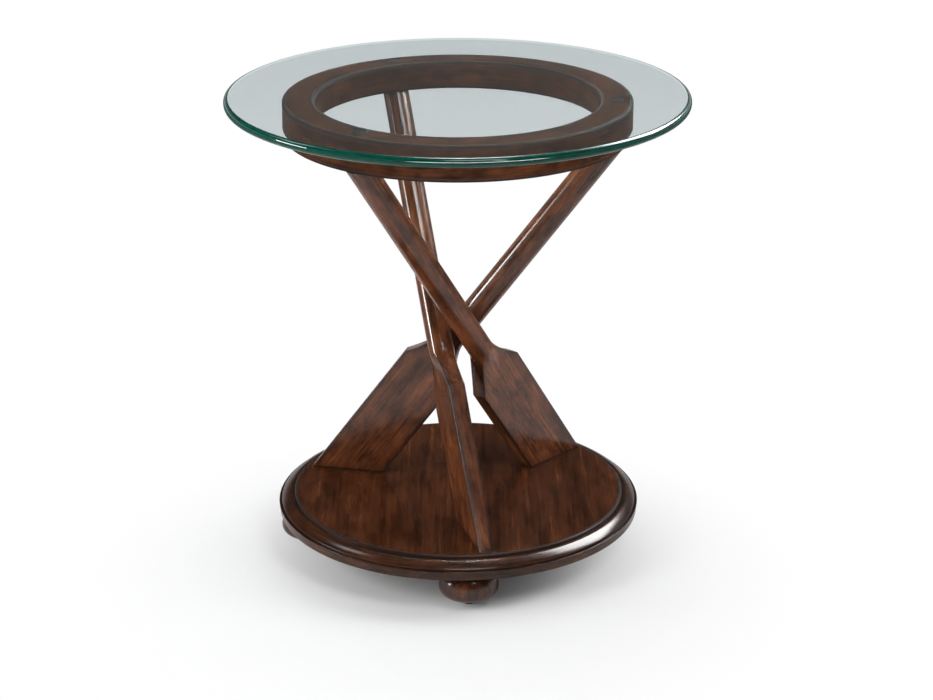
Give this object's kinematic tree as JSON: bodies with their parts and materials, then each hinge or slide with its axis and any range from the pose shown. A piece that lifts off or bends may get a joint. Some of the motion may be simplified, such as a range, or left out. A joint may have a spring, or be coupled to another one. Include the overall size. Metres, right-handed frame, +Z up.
{
  "type": "round end table",
  "caption": "Round end table: a lift-off clear glass disc on a wooden ring, carried by crossed wooden oars that stand on a round moulded base with bun feet.",
  "frame": {"origin": "on the floor, under the middle of the round top", "axes": "+Z up; -Y faces the viewer of the picture, +X to the viewer's right"},
  "size_m": [0.5959, 0.596, 0.622],
  "materials": {
    "glass": "clear polished float glass with a green edge",
    "walnut_finish": "dark brown stained solid wood, satin lacquer, dark glaze in the edges",
    "walnut_veneer": "dark brown stained veneer, satin lacquer",
    "bumper_rubber": "dark soft rubber",
    "glide_plastic": "dark moulded plastic",
    "steel": "zinc plated",
    "brass": "plain turned"
  },
  "bodies": {
    "frame": {"top_ring": "walnut_finish", "base_panel": "walnut_veneer", "base_rim": "walnut_finish", "ring_bolts": "steel", "ring_washers": "steel", "oar_head_inserts": "brass", "blade_bolts": "steel", "blade_washers": "steel", "blade_foot_inserts": "brass", "foot_hanger_bolts": "steel", "foot_inserts": "brass", "glass_bumper_1": "bumper_rubber", "glass_bumper_2": "bumper_rubber", "glass_bumper_3": "bumper_rubber", "oar_1": "walnut_finish", "oar_2": "walnut_finish", "oar_3": "walnut_finish", "bun_foot_1": "walnut_finish", "bun_foot_2": "walnut_finish", "bun_foot_3": "walnut_finish", "bun_foot_4": "walnut_finish", "foot_glide_1": "glide_plastic", "foot_glide_2": "glide_plastic", "foot_glide_3": "glide_plastic", "foot_glide_4": "glide_plastic"},
    "glass": {"glass_top": "glass"}
  },
  "joints": [
    {"name": "glass_lift", "type": "slide", "parent": "frame", "child": "glass", "axis": [0, 0, 1], "range_m": [0, 0.1]}
  ]
}
